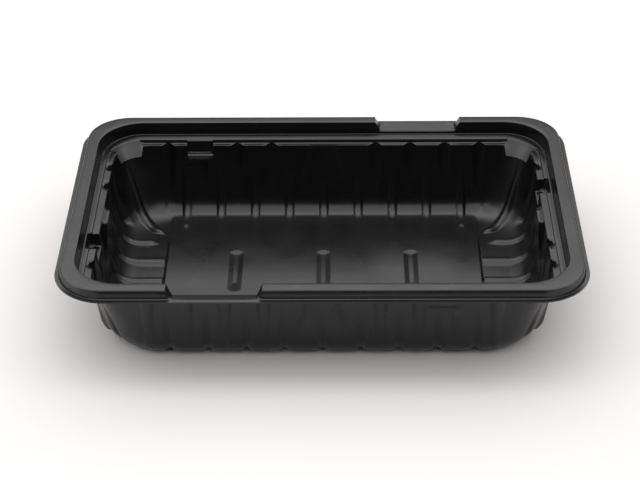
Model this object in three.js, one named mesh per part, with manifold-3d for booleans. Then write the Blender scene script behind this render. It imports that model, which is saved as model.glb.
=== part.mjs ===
// Plastic takeaway tray, one sheet of black plastic formed over a mould and then trimmed.
// Millimetres, +X along the length, +Y to the back long side, +Z up, z = 0 on the table.
//
// The sheet is the gap between two forms. form(0) is all the space above the upper skin and
// form(SHEET) the same space grown by the sheet thickness, so the cut between them is one
// even sheet. The trimming die then cuts the rim.
import * as THREE from 'three';
import Module from 'manifold-3d';

const wasm = await Module();
wasm.setup();

// Overall sizes
const LENGTH = 220;
const WIDTH = 149;
const HEIGHT = 44.4;
const CORNER = 22.5;
const SHEET = 0.6;

// Rim: flat lip, raised bead, seat for the lid. Insets run inwards from the trimmed edge.
const LIP_Z = 40.5;
const BEAD_FOOT = 1.9;
const BEAD_OUT = 2.85;
const BEAD_IN = 8.05;
const BEAD_OUT_CORNER = 18.2;
const BEAD_IN_CORNER = 19.6;
const BEAD_ROUND = 0.9;
const UNDERCUT = 0.6;
const SNAP_Z = 38.9;
const SEAT_Z = 36.8;
const SEAT_CORNER = 18.6;
const SEAT_WIDTH = 4.2;
const STEP_Z = 34.9;
const STEP_DRAFT = 0.2;
const STEP_WIDTH = 0.85;

// Body
const WALL_TOP_CORNER = 15.4;
const BASE_CORNER = 29;
const DRAFT = 8;
const BASE_ROUND = 10;

// Ribs and flutes stand on one pitch
const PITCH = 16;
const RIB_WIDTH = 4.6;
const RIB_HEIGHT = 1.2;
const RIB_TOP = 25;
const MIDDLE_RIB_TOP = 21.5;
const CORNER_RIB_TOP = 27;
const RIB_FOOT = 2.5;
const FLUTE_RADIUS = 3;
const FLUTE_DEPTH = 1.45;
const FLUTE_FADE_Z = 9;

// Trapezoid panel in the middle of each wall
const PANEL_TOP = 5.6;
const PANEL_FOOT = 9.8;
const PANEL_FOOT_Z = 20;
const PANEL_PROUD = 0.5;
const PANEL_RUNOUT = 5;

// Pockets that keep stacked trays apart
const POCKET_LENGTH = 12.4;
const POCKET_FLOOR_Z = 30.2;
const POCKET_DEPTH_LONG = 1.5;
const POCKET_DEPTH_END = 3.3;
const POCKET_BACK_X = -57.2;
const POCKET_FRONT_X = 49;
const POCKET_END_Y = 22.3;
const SILL_DROP = 1.5;
const SILL_RADIUS = 1.7;
const SILL_PROUD = 0.75;

// Sloping stacking pads in the corners
const PAD_TOP_Z = 36.2;
const PAD_FOOT_Z = 31.8;
const PAD_REACH = 4.2;
const PAD_FROM_X = 85;
const PAD_FROM_Y = 55;

// Notches in the rim bead, one on each long side
const NOTCH_X = 43.4;
const NOTCH_TOP = 39.2;
const NOTCH_FLOOR = 34.2;
const NOTCH_FALL = 1.6;

// Floor
const FLOOR_PANEL_HALF = 70.4;
const FLOOR_PANEL_RISE = 1.2;
const FLOOR_PANEL_SLOPE = 45;
const CHANNEL_SPACING = 39.4;
const CHANNEL_DEPTH = 1.05;
const CHANNEL_WIDTH = 6.5;
const CHANNEL_FLOOR_WIDTH = 1.9;
const CHANNEL_BACK_Y = 23.4;
const CHANNEL_FRONT_Y = -9.7;
const CHANNEL_RAMP = 8;
const CHANNEL_END = 1.3;
const PIP_RADIUS = 2.2;
const PIP_Y = 45.2;

// How finely rounds are cut into facets
const CORNER_STEPS = 7;
const ROUND_STEPS = 3;

const radians = THREE.MathUtils.degToRad;
const tanDraft = Math.tan(radians(DRAFT));
const far = 8;

// Signed volume, negative where the faces run clockwise
function volumeOf(points, faces) {
  const at = (i) => new THREE.Vector3().fromArray(points, faces[i] * 3);
  let volume = 0;
  for (let i = 0; i < faces.length; i += 3) volume += at(i).dot(at(i + 1).cross(at(i + 2))) / 6;
  return volume;
}

// Manifold solid from a closed three.js geometry, faces turned outwards
function solid(geometry) {
  const g = geometry.index ? geometry.toNonIndexed() : geometry;
  const p = g.getAttribute('position');
  const seen = new Map();
  const points = [];
  const faces = [];
  for (let i = 0; i < p.count; i++) {
    const v = [p.getX(i), p.getY(i), p.getZ(i)];
    const key = v.map((c) => Math.round(c * 1e4)).join();
    if (!seen.has(key)) {
      seen.set(key, points.length / 3);
      points.push(...v);
    }
    faces.push(seen.get(key));
  }
  const kept = [];
  for (let i = 0; i < faces.length; i += 3) {
    const [a, b, c] = faces.slice(i, i + 3);
    if (a !== b && b !== c && c !== a) kept.push(a, b, c);
  }
  if (volumeOf(points, kept) < 0) kept.reverse();
  const mesh = new wasm.Mesh({
    numProp: 3, vertProperties: new Float32Array(points), triVerts: new Uint32Array(kept),
  });
  return new wasm.Manifold(mesh);
}

const join = (parts) => parts.reduce((a, b) => a.add(b));

// Closed skin through equal loops of points, with flat ends unless the stack closes on itself
function loft(loops, closed = false) {
  const n = loops[0].length;
  const rows = closed ? [...loops, loops[0]] : loops;
  const at = [];
  for (let r = 0; r + 1 < rows.length; r++) {
    for (let i = 0; i < n; i++) {
      const j = (i + 1) % n;
      at.push(rows[r][i], rows[r][j], rows[r + 1][j], rows[r][i], rows[r + 1][j], rows[r + 1][i]);
    }
  }
  if (!closed) {
    const top = loops[loops.length - 1];
    for (let i = 1; i + 1 < n; i++) {
      at.push(loops[0][0], loops[0][i + 1], loops[0][i]);
      at.push(top[0], top[i], top[i + 1]);
    }
  }
  return solid(new THREE.BufferGeometry().setFromPoints(at));
}

// Rounded rectangle loop, inset from the trimmed edge, anticlockwise seen from above
function ring(inset, z, radius) {
  const a = LENGTH / 2 - inset;
  const b = WIDTH / 2 - inset;
  const r = Math.max(radius, 0.3);
  const loop = [];
  for (const [sx, sy, turn] of [[1, 1, 0], [-1, 1, 90], [-1, -1, 180], [1, -1, 270]]) {
    for (let i = 0; i <= CORNER_STEPS; i++) {
      const t = radians(turn + 90 * i / CORNER_STEPS);
      const x = sx * (a - r) + r * Math.cos(t);
      loop.push(new THREE.Vector3(x, sy * (b - r) + r * Math.sin(t), z));
    }
  }
  return loop;
}

// Points of an arc in the section plane
function arc(x, y, radius, from, to, steps) {
  return Array.from({ length: steps + 1 }, (_, i) => {
    const t = radians(from + (to - from) * i / steps);
    return [x + radius * Math.cos(t), y + radius * Math.sin(t)];
  });
}

// Section line moved sideways by a distance, to the left of its run
function offsetLine(line, distance) {
  const side = (p, q) => {
    const l = Math.hypot(q[0] - p[0], q[1] - p[1]);
    return [-(q[1] - p[1]) / l, (q[0] - p[0]) / l];
  };
  return line.map((p, i) => {
    const m = side(line[Math.max(i - 1, 0)], line[Math.max(i, 1)]);
    const last = line.length - 1;
    const n = side(line[Math.min(i, last - 1)], line[Math.min(i + 1, last)]);
    const k = distance / (1 + m[0] * n[0] + m[1] * n[1]);
    return [p[0] + (m[0] + n[0]) * k, p[1] + (m[1] + n[1]) * k];
  });
}

// Upper skin of wall, base round and floor, as inset and height
const wallTop = BEAD_IN - UNDERCUT + SEAT_WIDTH + STEP_DRAFT + STEP_WIDTH;
const roundStart = SHEET + BASE_ROUND * (1 - Math.sin(radians(DRAFT)));
const roundInset = wallTop + (STEP_Z - roundStart) * tanDraft + BASE_ROUND * Math.cos(radians(DRAFT));
const wallInset = (z) => wallTop + (STEP_Z - z) * tanDraft;

function wallLine(fromZ, floorRun = 0) {
  const round = arc(roundInset, SHEET + BASE_ROUND, BASE_ROUND, 180 + DRAFT, 270, ROUND_STEPS);
  const line = [[wallInset(fromZ), fromZ], ...round];
  return floorRun ? [...line, [roundInset + floorRun, SHEET]] : line;
}

// Upper skin of the rim from outside the trim to the top of the wall
function rimLine() {
  const seat = BEAD_IN - UNDERCUT;
  const slope = Math.hypot(BEAD_OUT - BEAD_FOOT, HEIGHT - LIP_Z);
  const lean = BEAD_ROUND * (BEAD_OUT - BEAD_FOOT) / slope;
  return [
    [-far, LIP_Z, CORNER], [BEAD_FOOT, LIP_Z, CORNER - BEAD_FOOT],
    [BEAD_OUT - lean, HEIGHT - BEAD_ROUND, BEAD_OUT_CORNER],
    [BEAD_OUT + BEAD_ROUND * 0.2, HEIGHT - BEAD_ROUND * 0.3, BEAD_OUT_CORNER],
    [BEAD_OUT + BEAD_ROUND * 0.9, HEIGHT, BEAD_OUT_CORNER - 0.5],
    [BEAD_IN - BEAD_ROUND, HEIGHT, BEAD_IN_CORNER + 0.5],
    [BEAD_IN - BEAD_ROUND * 0.3, HEIGHT - BEAD_ROUND * 0.3, BEAD_IN_CORNER],
    [BEAD_IN, HEIGHT - BEAD_ROUND, BEAD_IN_CORNER],
    [seat, SNAP_Z, SEAT_CORNER], [seat, SEAT_Z, SEAT_CORNER],
    [seat + SEAT_WIDTH, SEAT_Z, WALL_TOP_CORNER],
    [seat + SEAT_WIDTH + STEP_DRAFT, STEP_Z, WALL_TOP_CORNER],
  ];
}

// Corner radius of the wall: small under the seat, wide and conical at the base
function wallCorner(inset, z) {
  const grow = (STEP_Z - z) / (STEP_Z - SHEET);
  const cone = WALL_TOP_CORNER + (BASE_CORNER - WALL_TOP_CORNER) * grow;
  return z < roundStart ? cone - (inset - wallInset(z)) : cone;
}

// All the space above the skin, grown by a distance
function block(grown) {
  const wall = wallLine(STEP_Z, RIB_FOOT).map(([inset, z]) => [inset, z, wallCorner(inset, z)]);
  const line = [...rimLine(), ...wall];
  const moved = offsetLine(line.map(([inset, z]) => [inset, z]), -grown);
  const rings = line.map(([inset, , r], i) => ring(moved[i][0], moved[i][1], r + inset - moved[i][0]));
  const lid = ring(-far, HEIGHT + far - grown, CORNER);
  return loft([...rings.reverse(), lid.map((p) => p.clone())]);
}

// Round bar along a path of points, drawn at the angles where it shows; 0 faces the cavity.
// The fade is the share of the radius that is left at each point of the path.
function bar(path, radius, angles, fade) {
  const loops = path.map((p, i) => {
    const before = path[Math.max(i - 1, 0)];
    const after = path[Math.min(i + 1, path.length - 1)];
    const along = new THREE.Vector3().subVectors(after, before).normalize();
    const across = new THREE.Vector3(0, 0, 1).cross(along);
    if (across.lengthSq() < 1e-6) across.set(1, 0, 0);
    across.normalize();
    const up = new THREE.Vector3().crossVectors(along, across);
    const r = radius * fade[i];
    return angles.map((angle) => {
      const t = radians(angle);
      return p.clone().addScaledVector(across, r * Math.sin(t)).addScaledVector(up, r * Math.cos(t));
    });
  });
  return loft(loops);
}

const ridge = [-72, -24, 24, 72, 180];
const groove = [116, 148, 180, 212, 244, 0];
const roll = [-70, -24, 24, 70, 180];

// Places: where a section plane stands on the wall, as a map from inset and height to a point
const backWall = (x) => (inset, z) => new THREE.Vector3(x, WIDTH / 2 - inset, z);
const endWall = (y) => (inset, z) => new THREE.Vector3(LENGTH / 2 - inset, y, z);
const turned = (place) => (inset, z) => {
  const p = place(inset, z);
  return new THREE.Vector3(-p.x, -p.y, p.z);
};
const bothSides = (places) => places.flatMap((place) => [place, turned(place)]);

const ribRadius = (RIB_WIDTH ** 2 / 4 + RIB_HEIGHT ** 2) / (2 * RIB_HEIGHT);

// Middle line of a rib. It rises out of the wall from nothing at its top, as a spike does.
function ribLine(topZ, floorRun) {
  const line = offsetLine(wallLine(topZ, floorRun), RIB_HEIGHT - ribRadius);
  line[0] = [wallInset(topZ) - ribRadius, topZ];
  return line;
}

// Raised rib that runs down the wall, round the base and a little way on the floor
function rib(place, topZ, floorRun, shrink) {
  const line = ribLine(topZ, floorRun);
  const fade = line.map((_, i) => (i === line.length - 1 ? 0.6 : 1));
  return bar(line.map(([inset, z]) => place(inset, z)), ribRadius - shrink, ridge, fade);
}

// Half-round flute from the seat down, outside the wall at the top and run out at its foot
function flute(place, grown) {
  const top = wallTop - FLUTE_DEPTH + FLUTE_RADIUS;
  const foot = wallInset(FLUTE_FADE_Z) + FLUTE_RADIUS;
  const lean = (foot - top) / (STEP_Z - FLUTE_FADE_Z);
  const overZ = SEAT_Z + 2;
  const path = [place(top - (overZ - STEP_Z) * lean, overZ), place(foot, FLUTE_FADE_Z)];
  return bar(path, FLUTE_RADIUS + grown, groove, [1, 1]);
}

// Straight-sided solid over an outline in plan
function prism(outline, fromZ, toZ) {
  const shape = new THREE.Shape(outline.map(([x, y]) => new THREE.Vector2(x, y)));
  const geometry = new THREE.ExtrudeGeometry(shape, { depth: toZ - fromZ, bevelEnabled: false });
  return solid(geometry.translate(0, 0, fromZ));
}

function roundedBox(x, y, halfX, halfY, radius, fromZ, toZ) {
  const outline = [[1, 1, 0], [-1, 1, 90], [-1, -1, 180], [1, -1, 270]].flatMap(([sx, sy, turn]) =>
    arc(x + sx * (halfX - radius), y + sy * (halfY - radius), radius, turn, turn + 90, 3));
  return prism(outline, fromZ, toZ);
}

// Pocket cut outwards into the wall top, open to the seat
function pocket(x, y, alongX, depth, grown) {
  const half = POCKET_LENGTH / 2 + grown;
  const inner = wallTop + 3;
  const outer = wallTop - depth - grown;
  const reach = (inner - outer) / 2;
  const middle = (inner + outer) / 2;
  const place = alongX
    ? [x, Math.sign(y) * (WIDTH / 2 - middle), half, reach]
    : [Math.sign(x) * (LENGTH / 2 - middle), y, reach, half];
  const open = SEAT_Z + 1;
  return roundedBox(...place, Math.min(1.4 + grown, reach - 0.1), POCKET_FLOOR_Z - grown, open);
}

const pockets = (grown) => [
  pocket(POCKET_BACK_X, 1, true, POCKET_DEPTH_LONG, grown),
  pocket(POCKET_FRONT_X, -1, true, POCKET_DEPTH_LONG, grown),
  pocket(-1, -POCKET_END_Y, false, POCKET_DEPTH_END, grown),
  pocket(1, POCKET_END_Y, false, POCKET_DEPTH_END, grown),
];

// Rolled sill under a pocket
function sill(place, shrink) {
  const z = POCKET_FLOOR_Z - SILL_DROP;
  const inset = wallInset(z) + SILL_PROUD - SILL_RADIUS;
  const half = POCKET_LENGTH / 2;
  const path = [-half - 0.9, -half + 0.6, half - 0.6, half + 0.9].map((s) => place(s)(inset, z));
  return bar(path, SILL_RADIUS - shrink, roll, [0.5, 1, 1, 0.5]);
}

const sills = (shrink) => [
  sill((s) => backWall(POCKET_BACK_X + s), shrink),
  sill((s) => turned(backWall(s - POCKET_FRONT_X)), shrink),
  sill((s) => endWall(POCKET_END_Y + s), shrink),
  sill((s) => turned(endWall(POCKET_END_Y + s)), shrink),
];

// Proud trapezoid panel, flared at its foot, running out into the wall below
function wallPanel(place, shrink) {
  const rows = [
    [STEP_Z - shrink, PANEL_TOP, PANEL_PROUD], [27, 7.9, PANEL_PROUD],
    [PANEL_FOOT_Z, PANEL_FOOT, PANEL_PROUD * 0.6], [PANEL_FOOT_Z - PANEL_RUNOUT, PANEL_FOOT + 0.6, -0.1],
  ];
  const loops = rows.map(([z, half, proud]) => {
    const front = wallInset(z) + proud - shrink;
    const back = wallInset(z) - SHEET - 0.6;
    const side = half - shrink;
    return [place(-side)(front, z), place(side)(front, z), place(side)(back, z), place(-side)(back, z)];
  });
  return loft(loops);
}

const wallPanels = (shrink) => [(s) => backWall(s), (s) => endWall(-s)].flatMap((place) => [
  wallPanel(place, shrink), wallPanel((s) => turned(place(s)), shrink),
]);

// Sloping pads: one band round the wall top, kept only in the four corners
function pads(shrink) {
  const top = wallTop - STEP_WIDTH;
  const line = offsetLine([
    [top - 3, PAD_FOOT_Z - 1.2], [top - 3, PAD_TOP_Z], [top, PAD_TOP_Z],
    [top + PAD_REACH, PAD_FOOT_Z], [top + 0.8, PAD_FOOT_Z - 1.2], [top - 3, PAD_FOOT_Z - 1.2],
  ], -shrink).slice(1);
  const band = loft(line.map(([inset, z]) => ring(inset, z, WALL_TOP_CORNER + top - inset)), true);
  const x = PAD_FROM_X + shrink;
  const y = PAD_FROM_Y + shrink;
  const half = CORNER;
  return [[1, 1], [-1, 1], [-1, -1], [1, -1]].map(([sx, sy]) =>
    roundedBox(sx * (x + half), sy * (y + half), half, half, 0.3, 0, HEIGHT).intersect(band));
}

// Opening across the rim bead with sloping ends and a floor that falls towards the seat
function notch(sign, grown) {
  const edge = WIDTH / 2;
  const low = NOTCH_FLOOR / 2 + grown;
  const high = NOTCH_TOP / 2 + grown;
  const slope = (high - low) / (HEIGHT - LIP_Z);
  const loops = [[-far, LIP_Z], [BEAD_FOOT, LIP_Z], [BEAD_IN + 0.6, LIP_Z - NOTCH_FALL]].map(([inset, z]) => {
    const half = low - slope * (LIP_Z - z);
    const rise = HEIGHT + 2;
    const wide = low + slope * (rise - LIP_Z);
    const y = edge - inset;
    return [[half, z], [wide, rise], [-wide, rise], [-half, z]].map(([x, h], k) =>
      new THREE.Vector3(sign * (NOTCH_X + x), sign * y, h - (k === 0 || k === 3 ? grown : 0)));
  });
  return loft(loops);
}

// Floor channel: steep round back end, ramp at its front end
function channel(x, grown) {
  const stadium = (half, backY, frontY, z) => {
    const back = arc(x, backY - half, half, 0, 180, 6);
    const front = arc(x, frontY + half, half, 180, 360, 6);
    return [...back, ...front].map(([px, py]) => new THREE.Vector3(px, py, z));
  };
  const brimZ = SHEET + FLOOR_PANEL_RISE - grown;
  const floorZ = brimZ - CHANNEL_DEPTH;
  const half = CHANNEL_WIDTH / 2 + grown * 0.5;
  const low = CHANNEL_FLOOR_WIDTH / 2 + grown * 0.5;
  const slope = (half - low) / CHANNEL_DEPTH;
  const over = 1;
  return loft([
    stadium(low, CHANNEL_BACK_Y - CHANNEL_END, CHANNEL_FRONT_Y + CHANNEL_RAMP, floorZ),
    stadium(half, CHANNEL_BACK_Y, CHANNEL_FRONT_Y, brimZ),
    stadium(half + over * slope, CHANNEL_BACK_Y + over, CHANNEL_FRONT_Y - over, brimZ + over),
  ]);
}

// Raised middle of the floor
function floorPanel(shrink) {
  const z = SHEET + FLOOR_PANEL_RISE - shrink;
  const half = FLOOR_PANEL_HALF - shrink * 0.4;
  const wide = WIDTH / 2 - wallTop;
  const side = (x, h) => [[x, -wide], [x, wide], [-x, wide], [-x, -wide]].map(([px, py]) =>
    new THREE.Vector3(px, py, h));
  const depth = FLOOR_PANEL_RISE * 3;
  const foot = depth / Math.tan(radians(FLOOR_PANEL_SLOPE));
  return loft([side(half + foot, z - depth), side(half, z)].map((l) => l.reverse()));
}

function pip(x, y, shrink) {
  const ball = new THREE.SphereGeometry(PIP_RADIUS - shrink, 8, 6).rotateX(Math.PI / 2);
  return solid(ball.translate(x, y, SHEET + FLOOR_PANEL_RISE - PIP_RADIUS * 0.55));
}

// Rib down the cone of each corner
function cornerRib(sx, sy, shrink) {
  const path = ribLine(CORNER_RIB_TOP, 3).map(([inset, z]) => {
    const r = wallCorner(inset, Math.max(z, SHEET));
    const reach = r * Math.SQRT1_2;
    return new THREE.Vector3(sx * (LENGTH / 2 - inset - r + reach), sy * (WIDTH / 2 - inset - r + reach), z);
  });
  const fade = path.map((_, i) => (i === path.length - 1 ? 0.7 : 1));
  return bar(path, ribRadius - shrink, ridge, fade);
}

const counted = (from, to) => Array.from({ length: to - from + 1 }, (_, i) => from + i);

function ribs(shrink) {
  const long = counted(-4, 4).map((k) => [backWall(k * PITCH), k === 0 ? MIDDLE_RIB_TOP : RIB_TOP, RIB_FOOT]);
  const floorRun = LENGTH / 2 - FLOOR_PANEL_HALF - roundInset;
  const end = counted(-2, 2).map((k) => [endWall(k * PITCH), RIB_TOP, k % 2 || !k ? floorRun : floorRun - 6]);
  const lines = [...long, ...end].flatMap(([place, top, run]) =>
    [place, turned(place)].map((where) => rib(where, top, run, shrink)));
  const corners = [[1, 1], [-1, 1], [-1, -1], [1, -1]].map(([sx, sy]) => cornerRib(sx, sy, shrink));
  return [...lines, ...corners];
}

function flutes(grown) {
  const long = [-4.5, -3.5, -2.5, -1.5, 1.5, 2.5, 3.5, 4.5].map((k) => backWall(k * PITCH));
  const end = [-2.5, -1.5, 1.5, 2.5].map((k) => endWall(k * PITCH));
  return bothSides([...long, ...end]).map((place) => flute(place, grown));
}

// The whole space above the upper skin, grown by a distance
function form(grown) {
  const pips = [-4, 4].flatMap((k) => [PIP_Y, -PIP_Y].map((y) => pip(k * PITCH, y, grown)));
  const raised = join([floorPanel(grown), ...pips, ...ribs(grown), ...wallPanels(grown), ...pads(grown)]);
  const channels = [-1, 0, 1].map((k) => channel(k * CHANNEL_SPACING, grown));
  const sunk = join([...channels, ...flutes(grown), ...pockets(grown), notch(1, grown), notch(-1, grown)]);
  return block(grown).subtract(raised).add(sunk).subtract(join(sills(grown)));
}

function trimDie() {
  return loft([ring(0, -far, CORNER), ring(0, HEIGHT + far, CORNER)]);
}

function toGeometry(part) {
  const mesh = part.getMesh();
  const geometry = new THREE.BufferGeometry();
  const points = new Float32Array(mesh.numVert * 3);
  for (let i = 0; i < mesh.numVert; i++) {
    for (let k = 0; k < 3; k++) points[i * 3 + k] = mesh.vertProperties[i * mesh.numProp + k];
  }
  geometry.setAttribute('position', new THREE.BufferAttribute(points, 3));
  geometry.setIndex(new THREE.BufferAttribute(new Uint32Array(mesh.triVerts), 1));
  geometry.computeVertexNormals();
  return geometry;
}

const blackPlastic = new THREE.MeshStandardMaterial({ color: 0x26272a, roughness: 0.38, metalness: 0 });
const sheet = form(SHEET).subtract(form(0)).intersect(trimDie());
const tray = new THREE.Mesh(toGeometry(sheet), blackPlastic);
tray.name = 'tray';

const part = new THREE.Group();
part.name = 'takeaway_tray';
part.add(tray);
export default part;
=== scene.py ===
import logging
import math
from dataclasses import dataclass, field
from enum import Enum
from typing import NamedTuple

import bpy
import numpy as np
from mathutils import Matrix, Vector


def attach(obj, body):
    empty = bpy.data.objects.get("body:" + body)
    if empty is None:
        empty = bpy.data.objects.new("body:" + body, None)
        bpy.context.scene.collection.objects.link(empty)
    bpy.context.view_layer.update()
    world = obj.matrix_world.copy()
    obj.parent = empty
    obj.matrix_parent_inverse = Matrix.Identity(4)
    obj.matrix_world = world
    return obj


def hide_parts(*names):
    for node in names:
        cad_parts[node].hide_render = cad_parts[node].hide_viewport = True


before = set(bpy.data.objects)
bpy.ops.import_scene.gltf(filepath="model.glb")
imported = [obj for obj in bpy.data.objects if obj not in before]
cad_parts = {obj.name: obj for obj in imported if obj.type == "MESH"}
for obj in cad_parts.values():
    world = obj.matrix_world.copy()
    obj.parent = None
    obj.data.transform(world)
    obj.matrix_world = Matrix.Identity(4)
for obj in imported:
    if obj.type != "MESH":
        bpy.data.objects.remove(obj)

logging.basicConfig(level=logging.INFO, format="%(message)s")
log = logging.getLogger("tray")

MM = 0.001
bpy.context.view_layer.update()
ABSENT = -9.0  # height of a feature where it isn't, far below any skin
FLANK = math.radians(66)  # where the round of a rib or flute turns into a straight flank
SHARP = math.radians(58)  # faces that meet at more than this keep a hard edge
TINY = 1e-9
NEAR = 1e-6
SAME_LINE = 1e-3
Array = np.ndarray
Point = tuple[float, float, float]


# Sizes in millimetres. Insets are measured in from the trimmed edge, heights from the table.


@dataclass(frozen=True)
class Outline:
    """Overall sizes of the formed sheet."""

    length: float = 220.0
    width: float = 149.0
    corner: float = 22.5
    sheet: float = 0.6


@dataclass(frozen=True)
class RimSizes:
    """Flat lip, raised snap bead, the lid seat inside it and the step below the seat."""

    lip_z: float = 40.5
    foot: float = 1.9
    outer: float = 2.7
    inner: float = 8.05
    top_z: float = 44.4
    outer_round: float = 0.6
    inner_round: float = 0.35
    outer_corner: float = 18.2
    inner_corner: float = 19.6
    undercut: float = 0.6
    snap_z: float = 38.9
    seat_z: float = 36.8
    seat_corner: float = 18.6
    seat_width: float = 4.2
    step_z: float = 34.9
    step_draft: float = 0.2
    step_width: float = 0.85
    end_seat: float = 8.5
    end_step: float = 11.1
    end_step_z: float = 36.2
    end_edge: float = 14.3

    @property
    def seat(self) -> float:
        """Inset of the snap wall above the seat."""
        return self.inner - self.undercut

    @property
    def wall_top(self) -> float:
        """Inset where the wall starts."""
        return self.seat + self.seat_width + self.step_draft + self.step_width


@dataclass(frozen=True)
class WallSizes:
    """Drafted wall, base round and the cone of the corners."""

    top_corner: float = 15.4
    base_corner: float = 29.0
    draft: float = 8.0
    base_round: float = 10.0


@dataclass(frozen=True)
class RibSizes:
    """Raised ribs on one pitch, with one more in each corner."""

    pitch: float = 16.0
    radius: float = 2.5
    height: float = 1.3
    top_z: float = 25.0
    middle_top_z: float = 21.5
    corner_top_z: float = 27.0
    long_count: int = 4
    end_count: int = 2
    floor_run: float = 6.0
    end_gap: float = -1.0
    outer_short_by: float = 7.0
    corner_run: float = 3.0
    corner_x: float = 70.0
    corner_y: float = 36.0
    fillet: float = 0.5


@dataclass(frozen=True)
class FluteSizes:
    """Half-round flutes between the ribs, deepest at the top."""

    radius: float = 3.0
    depth: float = 1.75
    end_depth: float = 2.3
    fade_z: float = 9.0
    first: float = 1.5
    run_out: float = -0.4
    fillet: float = 0.35


@dataclass(frozen=True)
class PanelSizes:
    """Trapezoid panel in the middle of each wall, by height."""

    heights: tuple[float, ...] = (15.0, 20.0, 27.0, 34.9)
    halves: tuple[float, ...] = (10.4, 9.8, 7.9, 5.6)
    proud: tuple[float, ...] = (0.0, 0.4, 0.5, 0.5)
    end_proud: tuple[float, ...] = (0.0, 0.5, 1.4, 2.2)
    edge: float = 0.25
    foot_half: float = 5.6
    steady: float = 2.75  # columns nearer the middle than this stay in place
    clear: float = 13.2  # and so do those further out than this


@dataclass(frozen=True)
class PocketSizes:
    """Stacking pockets and the rolled sills under them."""

    half: float = 5.9
    floor_z: float = 30.2
    depth_long: float = 1.5
    depth_end: float = 3.3
    back_x: float = -57.2
    front_x: float = 49.0
    end_y: float = 22.3
    sill_drop: float = 2.1
    sill_radius: float = 1.0
    sill_proud: float = 0.45
    sill_short: float = 0.6


@dataclass(frozen=True)
class PadSizes:
    """Sloping stacking pads in the corners."""

    top_z: float = 36.4
    foot_z: float = 31.0
    back_z: float = 30.4
    reach: float = 4.2
    first_angle: float = 23.6
    last_angle: float = 82.4


@dataclass(frozen=True)
class NotchSizes:
    """Notches through the bead, one on each long side."""

    x: float = 43.4
    low: float = 17.1
    high: float = 19.6
    fall: float = 1.6
    floor_end: float = 7.0
    toe: float = 0.7


@dataclass(frozen=True)
class FloorSizes:
    """Raised panel, channels and pips."""

    panel_half: float = 70.4
    rise: float = 1.2
    grid_y: float = 36.0
    channel_spacing: float = 39.4
    channel_depth: float = 1.05
    channel_half: float = 3.25
    channel_low: float = 0.95
    back_y: float = 23.4
    front_y: float = -9.7
    ramp: float = 8.0
    end: float = 1.3
    pip_radius: float = 2.2
    pip_sunk: float = 0.55
    pip_y: float = 45.2
    fillet: float = 0.35

    @property
    def foot_x(self) -> float:
        """Where the slope at the side of the panel meets the low floor."""
        return self.panel_half + self.rise


@dataclass(frozen=True)
class SoftZone:
    """Where the lower side is smoothed, because the drawn sheet bridges small steps."""

    rounds: int = 24
    low_z: float = 26.5
    high_z: float = 37.3
    corner_x: float = 82.0
    corner_y: float = 46.0
    long_depth: float = 17.0
    end_depth: float = 19.0
    pocket_margin: float = 3.0
    panel_margin: float = 2.0


# Helpers on fields and paths


def smooth_max(a: Array, b: Array | float, k: float) -> Array:
    """Greater of two fields with a fillet of about k between them.

    Args:
        a: First field.
        b: Second field.
        k: Width of the blend in the fields' unit.
    Returns:
        The blended field.
    """
    near = np.maximum(k - np.abs(a - b), 0.0) / k
    return np.maximum(a, b) + near * near * k / 4


def ramp(value: Array, start: float | Array, end: float | Array) -> Array:
    """Straight ramp from 0 at start to 1 at end."""
    return np.clip((value - start) / (end - start), 0.0, 1.0)


def round_profile(distance: Array, radius: float) -> Array:
    """Height of a round over its centre line, straight on its flanks.

    Args:
        distance: Distance from the crest line.
        radius: Radius of the round.
    Returns:
        Height over the centre of the round.
    """
    lean = radius * math.sin(FLANK)
    edge = math.sqrt(radius * radius - lean * lean)
    crown = np.sqrt(np.maximum(radius * radius - distance * distance, TINY))
    return np.where(distance <= lean, crown, edge - (distance - lean) * math.tan(FLANK))


def resample(path: list[tuple[float, float]], counts: list[int]) -> Array:
    """Points along a path, with a set number on each of its legs.

    Args:
        path: Corners of the path.
        counts: Points on each leg, its start included and its end not.
    Returns:
        Points as rows.
    """
    rows = []
    for (x0, y0), (x1, y1), n in zip(path[:-1], path[1:], counts):
        rows += [(x0 + (x1 - x0) * i / n, y0 + (y1 - y0) * i / n) for i in range(n)]
    return np.array(rows)


class Side(Enum):
    """What carries a column of the mesh."""

    LONG = 0
    ARC = 1
    END = 2


class Pocket(NamedTuple):
    """Columns that carry a pocket, with its middle along the side and its depth."""

    columns: Array
    middle: float
    depth: float


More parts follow.
